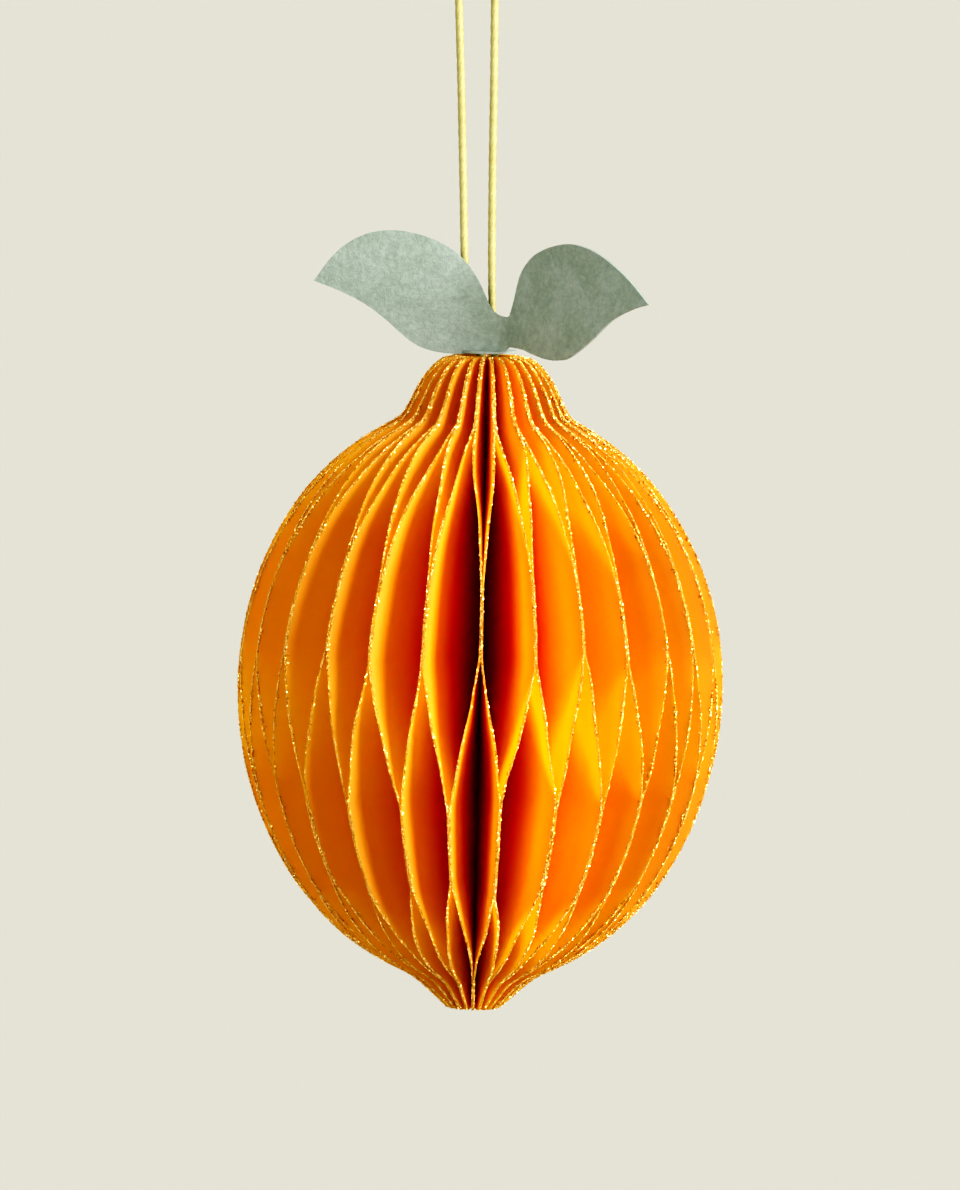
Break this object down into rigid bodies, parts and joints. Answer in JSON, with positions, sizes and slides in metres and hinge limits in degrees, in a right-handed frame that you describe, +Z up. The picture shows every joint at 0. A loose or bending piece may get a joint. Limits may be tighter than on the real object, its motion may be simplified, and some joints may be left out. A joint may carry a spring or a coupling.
{
  "type": "paper honeycomb ornament",
  "caption": "Hanging paper honeycomb ornament shaped like a citrus fruit, with glued paper leaves that fold flat, a two-leaf card sprig and a cord loop.",
  "frame": {"origin": "inside top of the hanging cord's loop, where the ornament hangs", "axes": "+Z up along the ball's axis, front towards -Y, +X to the viewer's right"},
  "size_m": [0.074, 0.074, 0.1631],
  "materials": {
    "orange_paper": "matt uncoated paper, dyed through",
    "gold_glitter": "fine gold glitter along the cut edges",
    "sage_card": "matt handmade card with fine fibres",
    "yellow_cord": "waxed twisted cotton",
    "white_thread": "plain cotton thread"
  },
  "bodies": {
    "cord": {"hanging_cord": "yellow_cord"},
    "core": {"spine_thread": "white_thread", "cord_knot": "yellow_cord"},
    "sprig": {"leaf_sprig": "sage_card"},
    "leaf_01": {"leaf_01": "orange_paper"},
    "leaf_02": {"leaf_02": "orange_paper"},
    "leaf_03": {"leaf_03": "orange_paper"},
    "leaf_04": {"leaf_04": "orange_paper"},
    "leaf_05": {"leaf_05": "orange_paper"},
    "leaf_06": {"leaf_06": "orange_paper"},
    "leaf_07": {"leaf_07": "orange_paper"},
    "leaf_08": {"leaf_08": "orange_paper"},
    "leaf_09": {"leaf_09": "orange_paper"},
    "leaf_10": {"leaf_10": "orange_paper"},
    "leaf_11": {"leaf_11": "orange_paper"},
    "leaf_12": {"leaf_12": "orange_paper"},
    "leaf_13": {"leaf_13": "orange_paper"},
    "leaf_14": {"leaf_14": "orange_paper"},
    "leaf_15": {"leaf_15": "orange_paper"},
    "leaf_16": {"leaf_16": "orange_paper"},
    "leaf_17": {"leaf_17": "orange_paper"},
    "leaf_18": {"leaf_18": "orange_paper"},
    "leaf_19": {"leaf_19": "orange_paper"},
    "leaf_20": {"leaf_20": "orange_paper"},
    "leaf_21": {"leaf_21": "orange_paper"},
    "leaf_22": {"leaf_22": "orange_paper"},
    "leaf_23": {"leaf_23": "orange_paper"},
    "leaf_24": {"leaf_24": "orange_paper"},
    "leaf_25": {"leaf_25": "orange_paper"},
    "leaf_26": {"leaf_26": "orange_paper"},
    "leaf_27": {"leaf_27": "orange_paper"},
    "leaf_28": {"leaf_28": "orange_paper"},
    "leaf_29": {"leaf_29": "orange_paper"},
    "leaf_30": {"leaf_30": "orange_paper"},
    "leaf_31": {"leaf_31": "orange_paper"},
    "leaf_32": {"leaf_32": "orange_paper"},
    "leaf_33": {"leaf_33": "orange_paper"},
    "leaf_34": {"leaf_34": "orange_paper"},
    "leaf_35": {"leaf_35": "orange_paper"},
    "leaf_36": {"leaf_36": "orange_paper"},
    "leaf_37": {"leaf_37": "orange_paper"},
    "leaf_38": {"leaf_38": "orange_paper"},
    "leaf_39": {"leaf_39": "orange_paper"},
    "leaf_40": {"leaf_40": "orange_paper"},
    "leaf_41": {"leaf_41": "orange_paper"},
    "leaf_42": {"leaf_42": "orange_paper"},
    "leaf_43": {"leaf_43": "orange_paper"},
    "leaf_44": {"leaf_44": "orange_paper"},
    "leaf_45": {"leaf_45": "orange_paper"},
    "leaf_46": {"leaf_46": "orange_paper"},
    "leaf_47": {"leaf_47": "orange_paper"},
    "leaf_48": {"leaf_48": "orange_paper"},
    "leaf_49": {"leaf_49": "orange_paper"},
    "leaf_50": {"leaf_50": "orange_paper"},
    "leaf_51": {"leaf_51": "orange_paper"},
    "leaf_52": {"leaf_52": "orange_paper"},
    "leaf_53": {"leaf_53": "orange_paper"},
    "leaf_54": {"leaf_54": "orange_paper"},
    "leaf_55": {"leaf_55": "orange_paper"},
    "leaf_56": {"leaf_56": "orange_paper"}
  },
  "joints": [
    {"name": "ball_turn", "type": "hinge", "parent": "cord", "child": "core", "pos_m": [0.003, 0, -0.062], "axis": [0, 0, 1], "range_deg": [-180, 180], "deforming": ["hanging_cord"]},
    {"name": "sprig_turn", "type": "hinge", "parent": "core", "child": "sprig", "pos_m": [0.003, 0, -0.062], "axis": [0, 0, 1], "range_deg": [-8, 210]},
    {"name": "fold", "type": "hinge", "parent": "core", "child": "leaf_01", "pos_m": [-0.0012, -0.00043, -0.112], "axis": [0, 0, 1], "range_deg": [0, 168.79], "deforming": ["leaf_01"]},
    {"name": "leaf_02_fold", "type": "hinge", "parent": "core", "child": "leaf_02", "pos_m": [-0.00105, -0.00063, -0.112], "axis": [0, 0, 1], "range_deg": [0, 162.73], "deforming": ["leaf_02"]},
    {"name": "leaf_03_fold", "type": "hinge", "parent": "core", "child": "leaf_03", "pos_m": [-0.00089, -0.00082, -0.112], "axis": [0, 0, 1], "range_deg": [0, 156.59], "deforming": ["leaf_03"]},
    {"name": "leaf_04_fold", "type": "hinge", "parent": "core", "child": "leaf_04", "pos_m": [-0.00074, -0.001, -0.112], "axis": [0, 0, 1], "range_deg": [0, 150.45], "deforming": ["leaf_04"]},
    {"name": "leaf_05_fold", "type": "hinge", "parent": "core", "child": "leaf_05", "pos_m": [-0.00059, -0.00117, -0.112], "axis": [0, 0, 1], "range_deg": [0, 144.31], "deforming": ["leaf_05"]},
    {"name": "leaf_06_fold", "type": "hinge", "parent": "core", "child": "leaf_06", "pos_m": [-0.00043, -0.00133, -0.112], "axis": [0, 0, 1], "range_deg": [0, 138.17], "deforming": ["leaf_06"]},
    {"name": "leaf_07_fold", "type": "hinge", "parent": "core", "child": "leaf_07", "pos_m": [-0.00028, -0.00147, -0.112], "axis": [0, 0, 1], "range_deg": [0, 132.03], "deforming": ["leaf_07"]},
    {"name": "leaf_08_fold", "type": "hinge", "parent": "core", "child": "leaf_08", "pos_m": [-0.00013, -0.00161, -0.112], "axis": [0, 0, 1], "range_deg": [0, 125.89], "deforming": ["leaf_08"]},
    {"name": "leaf_09_fold", "type": "hinge", "parent": "core", "child": "leaf_09", "pos_m": [0.00003, -0.00174, -0.112], "axis": [0, 0, 1], "range_deg": [0, 119.74], "deforming": ["leaf_09"]},
    {"name": "leaf_10_fold", "type": "hinge", "parent": "core", "child": "leaf_10", "pos_m": [0.00018, -0.00186, -0.112], "axis": [0, 0, 1], "range_deg": [0, 113.6], "deforming": ["leaf_10"]},
    {"name": "leaf_11_fold", "type": "hinge", "parent": "core", "child": "leaf_11", "pos_m": [0.00033, -0.00197, -0.112], "axis": [0, 0, 1], "range_deg": [0, 107.46], "deforming": ["leaf_11"]},
    {"name": "leaf_12_fold", "type": "hinge", "parent": "core", "child": "leaf_12", "pos_m": [0.00048, -0.00207, -0.112], "axis": [0, 0, 1], "range_deg": [0, 101.32], "deforming": ["leaf_12"]},
    {"name": "leaf_13_fold", "type": "hinge", "parent": "core", "child": "leaf_13", "pos_m": [0.00064, -0.00217, -0.112], "axis": [0, 0, 1], "range_deg": [0, 95.18], "deforming": ["leaf_13"]},
    {"name": "leaf_14_fold", "type": "hinge", "parent": "core", "child": "leaf_14", "pos_m": [0.00079, -0.00226, -0.112], "axis": [0, 0, 1], "range_deg": [0, 89.04], "deforming": ["leaf_14"]},
    {"name": "leaf_15_fold", "type": "hinge", "parent": "core", "child": "leaf_15", "pos_m": [0.00094, -0.00234, -0.112], "axis": [0, 0, 1], "range_deg": [0, 82.9], "deforming": ["leaf_15"]},
    {"name": "leaf_16_fold", "type": "hinge", "parent": "core", "child": "leaf_16", "pos_m": [0.00109, -0.00242, -0.112], "axis": [0, 0, 1], "range_deg": [0, 76.76], "deforming": ["leaf_16"]},
    {"name": "leaf_17_fold", "type": "hinge", "parent": "core", "child": "leaf_17", "pos_m": [0.00125, -0.00248, -0.112], "axis": [0, 0, 1], "range_deg": [0, 70.62], "deforming": ["leaf_17"]},
    {"name": "leaf_18_fold", "type": "hinge", "parent": "core", "child": "leaf_18", "pos_m": [0.0014, -0.00255, -0.112], "axis": [0, 0, 1], "range_deg": [0, 64.48], "deforming": ["leaf_18"]},
    {"name": "leaf_19_fold", "type": "hinge", "parent": "core", "child": "leaf_19", "pos_m": [0.00155, -0.0026, -0.112], "axis": [0, 0, 1], "range_deg": [0, 58.34], "deforming": ["leaf_19"]},
    {"name": "leaf_20_fold", "type": "hinge", "parent": "core", "child": "leaf_20", "pos_m": [0.0017, -0.00265, -0.112], "axis": [0, 0, 1], "range_deg": [0, 52.2], "deforming": ["leaf_20"]},
    {"name": "leaf_21_fold", "type": "hinge", "parent": "core", "child": "leaf_21", "pos_m": [0.00186, -0.0027, -0.112], "axis": [0, 0, 1], "range_deg": [0, 46.06], "deforming": ["leaf_21"]},
    {"name": "leaf_22_fold", "type": "hinge", "parent": "core", "child": "leaf_22", "pos_m": [0.00201, -0.00274, -0.112], "axis": [0, 0, 1], "range_deg": [0, 39.91], "deforming": ["leaf_22"]},
    {"name": "leaf_23_fold", "type": "hinge", "parent": "core", "child": "leaf_23", "pos_m": [0.00216, -0.00277, -0.112], "axis": [0, 0, 1], "range_deg": [0, 33.77], "deforming": ["leaf_23"]},
    {"name": "leaf_24_fold", "type": "hinge", "parent": "core", "child": "leaf_24", "pos_m": [0.00231, -0.0028, -0.112], "axis": [0, 0, 1], "range_deg": [0, 27.63], "deforming": ["leaf_24"]},
    {"name": "leaf_25_fold", "type": "hinge", "parent": "core", "child": "leaf_25", "pos_m": [0.00247, -0.00282, -0.112], "axis": [0, 0, 1], "range_deg": [0, 21.49], "deforming": ["leaf_25"]},
    {"name": "leaf_26_fold", "type": "hinge", "parent": "core", "child": "leaf_26", "pos_m": [0.00262, -0.00283, -0.112], "axis": [0, 0, 1], "range_deg": [0, 15.35], "deforming": ["leaf_26"]},
    {"name": "leaf_27_fold", "type": "hinge", "parent": "core", "child": "leaf_27", "pos_m": [0.00277, -0.00285, -0.112], "axis": [0, 0, 1], "range_deg": [0, 9.21], "deforming": ["leaf_27"]},
    {"name": "leaf_28_fold", "type": "hinge", "parent": "core", "child": "leaf_28", "pos_m": [0.00292, -0.00285, -0.112], "axis": [0, 0, 1], "range_deg": [0, 3.07], "deforming": ["leaf_28"]},
    {"name": "leaf_29_fold", "type": "hinge", "parent": "core", "child": "leaf_29", "pos_m": [0.00308, -0.00285, -0.112], "axis": [0, 0, 1], "range_deg": [-3.07, 0], "deforming": ["leaf_29"]},
    {"name": "leaf_30_fold", "type": "hinge", "parent": "core", "child": "leaf_30", "pos_m": [0.00323, -0.00285, -0.112], "axis": [0, 0, 1], "range_deg": [-9.21, 0], "deforming": ["leaf_30"]},
    {"name": "leaf_31_fold", "type": "hinge", "parent": "core", "child": "leaf_31", "pos_m": [0.00338, -0.00283, -0.112], "axis": [0, 0, 1], "range_deg": [-15.35, 0], "deforming": ["leaf_31"]},
    {"name": "leaf_32_fold", "type": "hinge", "parent": "core", "child": "leaf_32", "pos_m": [0.00353, -0.00282, -0.112], "axis": [0, 0, 1], "range_deg": [-21.49, 0], "deforming": ["leaf_32"]},
    {"name": "leaf_33_fold", "type": "hinge", "parent": "core", "child": "leaf_33", "pos_m": [0.00369, -0.0028, -0.112], "axis": [0, 0, 1], "range_deg": [-27.63, 0], "deforming": ["leaf_33"]},
    {"name": "leaf_34_fold", "type": "hinge", "parent": "core", "child": "leaf_34", "pos_m": [0.00384, -0.00277, -0.112], "axis": [0, 0, 1], "range_deg": [-33.77, 0], "deforming": ["leaf_34"]},
    {"name": "leaf_35_fold", "type": "hinge", "parent": "core", "child": "leaf_35", "pos_m": [0.00399, -0.00274, -0.112], "axis": [0, 0, 1], "range_deg": [-39.91, 0], "deforming": ["leaf_35"]},
    {"name": "leaf_36_fold", "type": "hinge", "parent": "core", "child": "leaf_36", "pos_m": [0.00414, -0.0027, -0.112], "axis": [0, 0, 1], "range_deg": [-46.06, 0], "deforming": ["leaf_36"]},
    {"name": "leaf_37_fold", "type": "hinge", "parent": "core", "child": "leaf_37", "pos_m": [0.0043, -0.00265, -0.112], "axis": [0, 0, 1], "range_deg": [-52.2, 0], "deforming": ["leaf_37"]},
    {"name": "leaf_38_fold", "type": "hinge", "parent": "core", "child": "leaf_38", "pos_m": [0.00445, -0.0026, -0.112], "axis": [0, 0, 1], "range_deg": [-58.34, 0], "deforming": ["leaf_38"]},
    {"name": "leaf_39_fold", "type": "hinge", "parent": "core", "child": "leaf_39", "pos_m": [0.0046, -0.00255, -0.112], "axis": [0, 0, 1], "range_deg": [-64.48, 0], "deforming": ["leaf_39"]},
    {"name": "leaf_40_fold", "type": "hinge", "parent": "core", "child": "leaf_40", "pos_m": [0.00475, -0.00248, -0.112], "axis": [0, 0, 1], "range_deg": [-70.62, 0], "deforming": ["leaf_40"]},
    {"name": "leaf_41_fold", "type": "hinge", "parent": "core", "child": "leaf_41", "pos_m": [0.00491, -0.00242, -0.112], "axis": [0, 0, 1], "range_deg": [-76.76, 0], "deforming": ["leaf_41"]},
    {"name": "leaf_42_fold", "type": "hinge", "parent": "core", "child": "leaf_42", "pos_m": [0.00506, -0.00234, -0.112], "axis": [0, 0, 1], "range_deg": [-82.9, 0], "deforming": ["leaf_42"]},
    {"name": "leaf_43_fold", "type": "hinge", "parent": "core", "child": "leaf_43", "pos_m": [0.00521, -0.00226, -0.112], "axis": [0, 0, 1], "range_deg": [-89.04, 0], "deforming": ["leaf_43"]},
    {"name": "leaf_44_fold", "type": "hinge", "parent": "core", "child": "leaf_44", "pos_m": [0.00536, -0.00217, -0.112], "axis": [0, 0, 1], "range_deg": [-95.18, 0], "deforming": ["leaf_44"]},
    {"name": "leaf_45_fold", "type": "hinge", "parent": "core", "child": "leaf_45", "pos_m": [0.00552, -0.00207, -0.112], "axis": [0, 0, 1], "range_deg": [-101.32, 0], "deforming": ["leaf_45"]},
    {"name": "leaf_46_fold", "type": "hinge", "parent": "core", "child": "leaf_46", "pos_m": [0.00567, -0.00197, -0.112], "axis": [0, 0, 1], "range_deg": [-107.46, 0], "deforming": ["leaf_46"]},
    {"name": "leaf_47_fold", "type": "hinge", "parent": "core", "child": "leaf_47", "pos_m": [0.00582, -0.00186, -0.112], "axis": [0, 0, 1], "range_deg": [-113.6, 0], "deforming": ["leaf_47"]},
    {"name": "leaf_48_fold", "type": "hinge", "parent": "core", "child": "leaf_48", "pos_m": [0.00597, -0.00174, -0.112], "axis": [0, 0, 1], "range_deg": [-119.74, 0], "deforming": ["leaf_48"]},
    {"name": "leaf_49_fold", "type": "hinge", "parent": "core", "child": "leaf_49", "pos_m": [0.00613, -0.00161, -0.112], "axis": [0, 0, 1], "range_deg": [-125.89, 0], "deforming": ["leaf_49"]},
    {"name": "leaf_50_fold", "type": "hinge", "parent": "core", "child": "leaf_50", "pos_m": [0.00628, -0.00147, -0.112], "axis": [0, 0, 1], "range_deg": [-132.03, 0], "deforming": ["leaf_50"]},
    {"name": "leaf_51_fold", "type": "hinge", "parent": "core", "child": "leaf_51", "pos_m": [0.00643, -0.00133, -0.112], "axis": [0, 0, 1], "range_deg": [-138.17, 0], "deforming": ["leaf_51"]},
    {"name": "leaf_52_fold", "type": "hinge", "parent": "core", "child": "leaf_52", "pos_m": [0.00659, -0.00117, -0.112], "axis": [0, 0, 1], "range_deg": [-144.31, 0], "deforming": ["leaf_52"]},
    {"name": "leaf_53_fold", "type": "hinge", "parent": "core", "child": "leaf_53", "pos_m": [0.00674, -0.001, -0.112], "axis": [0, 0, 1], "range_deg": [-150.45, 0], "deforming": ["leaf_53"]},
    {"name": "leaf_54_fold", "type": "hinge", "parent": "core", "child": "leaf_54", "pos_m": [0.00689, -0.00082, -0.112], "axis": [0, 0, 1], "range_deg": [-156.59, 0], "deforming": ["leaf_54"]},
    {"name": "leaf_55_fold", "type": "hinge", "parent": "core", "child": "leaf_55", "pos_m": [0.00705, -0.00063, -0.112], "axis": [0, 0, 1], "range_deg": [-162.73, 0], "deforming": ["leaf_55"]},
    {"name": "leaf_56_fold", "type": "hinge", "parent": "core", "child": "leaf_56", "pos_m": [0.0072, -0.00043, -0.112], "axis": [0, 0, 1], "range_deg": [-168.87, 0], "deforming": ["leaf_56"]}
  ],
  "couplings": [
    {"joint": "leaf_02_fold", "follows": "fold", "ratio": 0.96364},
    {"joint": "leaf_03_fold", "follows": "fold", "ratio": 0.92727},
    {"joint": "leaf_04_fold", "follows": "fold", "ratio": 0.89091},
    {"joint": "leaf_05_fold", "follows": "fold", "ratio": 0.85455},
    {"joint": "leaf_06_fold", "follows": "fold", "ratio": 0.81818},
    {"joint": "leaf_07_fold", "follows": "fold", "ratio": 0.78182},
    {"joint": "leaf_08_fold", "follows": "fold", "ratio": 0.74545},
    {"joint": "leaf_09_fold", "follows": "fold", "ratio": 0.70909},
    {"joint": "leaf_10_fold", "follows": "fold", "ratio": 0.67273},
    {"joint": "leaf_11_fold", "follows": "fold", "ratio": 0.63636},
    {"joint": "leaf_12_fold", "follows": "fold", "ratio": 0.6},
    {"joint": "leaf_13_fold", "follows": "fold", "ratio": 0.56364},
    {"joint": "leaf_14_fold", "follows": "fold", "ratio": 0.52727},
    {"joint": "leaf_15_fold", "follows": "fold", "ratio": 0.49091},
    {"joint": "leaf_16_fold", "follows": "fold", "ratio": 0.45455},
    {"joint": "leaf_17_fold", "follows": "fold", "ratio": 0.41818},
    {"joint": "leaf_18_fold", "follows": "fold", "ratio": 0.38182},
    {"joint": "leaf_19_fold", "follows": "fold", "ratio": 0.34545},
    {"joint": "leaf_20_fold", "follows": "fold", "ratio": 0.30909},
    {"joint": "leaf_21_fold", "follows": "fold", "ratio": 0.27273},
    {"joint": "leaf_22_fold", "follows": "fold", "ratio": 0.23636},
    {"joint": "leaf_23_fold", "follows": "fold", "ratio": 0.2},
    {"joint": "leaf_24_fold", "follows": "fold", "ratio": 0.16364},
    {"joint": "leaf_25_fold", "follows": "fold", "ratio": 0.12727},
    {"joint": "leaf_26_fold", "follows": "fold", "ratio": 0.090909},
    {"joint": "leaf_27_fold", "follows": "fold", "ratio": 0.054545},
    {"joint": "leaf_28_fold", "follows": "fold", "ratio": 0.018182},
    {"joint": "leaf_29_fold", "follows": "fold", "ratio": -0.018182},
    {"joint": "leaf_30_fold", "follows": "fold", "ratio": -0.054545},
    {"joint": "leaf_31_fold", "follows": "fold", "ratio": -0.090909},
    {"joint": "leaf_32_fold", "follows": "fold", "ratio": -0.12727},
    {"joint": "leaf_33_fold", "follows": "fold", "ratio": -0.16364},
    {"joint": "leaf_34_fold", "follows": "fold", "ratio": -0.2},
    {"joint": "leaf_35_fold", "follows": "fold", "ratio": -0.23636},
    {"joint": "leaf_36_fold", "follows": "fold", "ratio": -0.27273},
    {"joint": "leaf_37_fold", "follows": "fold", "ratio": -0.30909},
    {"joint": "leaf_38_fold", "follows": "fold", "ratio": -0.34545},
    {"joint": "leaf_39_fold", "follows": "fold", "ratio": -0.38182},
    {"joint": "leaf_40_fold", "follows": "fold", "ratio": -0.41818},
    {"joint": "leaf_41_fold", "follows": "fold", "ratio": -0.45455},
    {"joint": "leaf_42_fold", "follows": "fold", "ratio": -0.49091},
    {"joint": "leaf_43_fold", "follows": "fold", "ratio": -0.52727},
    {"joint": "leaf_44_fold", "follows": "fold", "ratio": -0.56364},
    {"joint": "leaf_45_fold", "follows": "fold", "ratio": -0.6},
    {"joint": "leaf_46_fold", "follows": "fold", "ratio": -0.63636},
    {"joint": "leaf_47_fold", "follows": "fold", "ratio": -0.67273},
    {"joint": "leaf_48_fold", "follows": "fold", "ratio": -0.70909},
    {"joint": "leaf_49_fold", "follows": "fold", "ratio": -0.74545},
    {"joint": "leaf_50_fold", "follows": "fold", "ratio": -0.78182},
    {"joint": "leaf_51_fold", "follows": "fold", "ratio": -0.81818},
    {"joint": "leaf_52_fold", "follows": "fold", "ratio": -0.85455},
    {"joint": "leaf_53_fold", "follows": "fold", "ratio": -0.89091},
    {"joint": "leaf_54_fold", "follows": "fold", "ratio": -0.92727},
    {"joint": "leaf_55_fold", "follows": "fold", "ratio": -0.96364},
    {"joint": "leaf_56_fold", "follows": "fold", "ratio": -1}
  ]
}
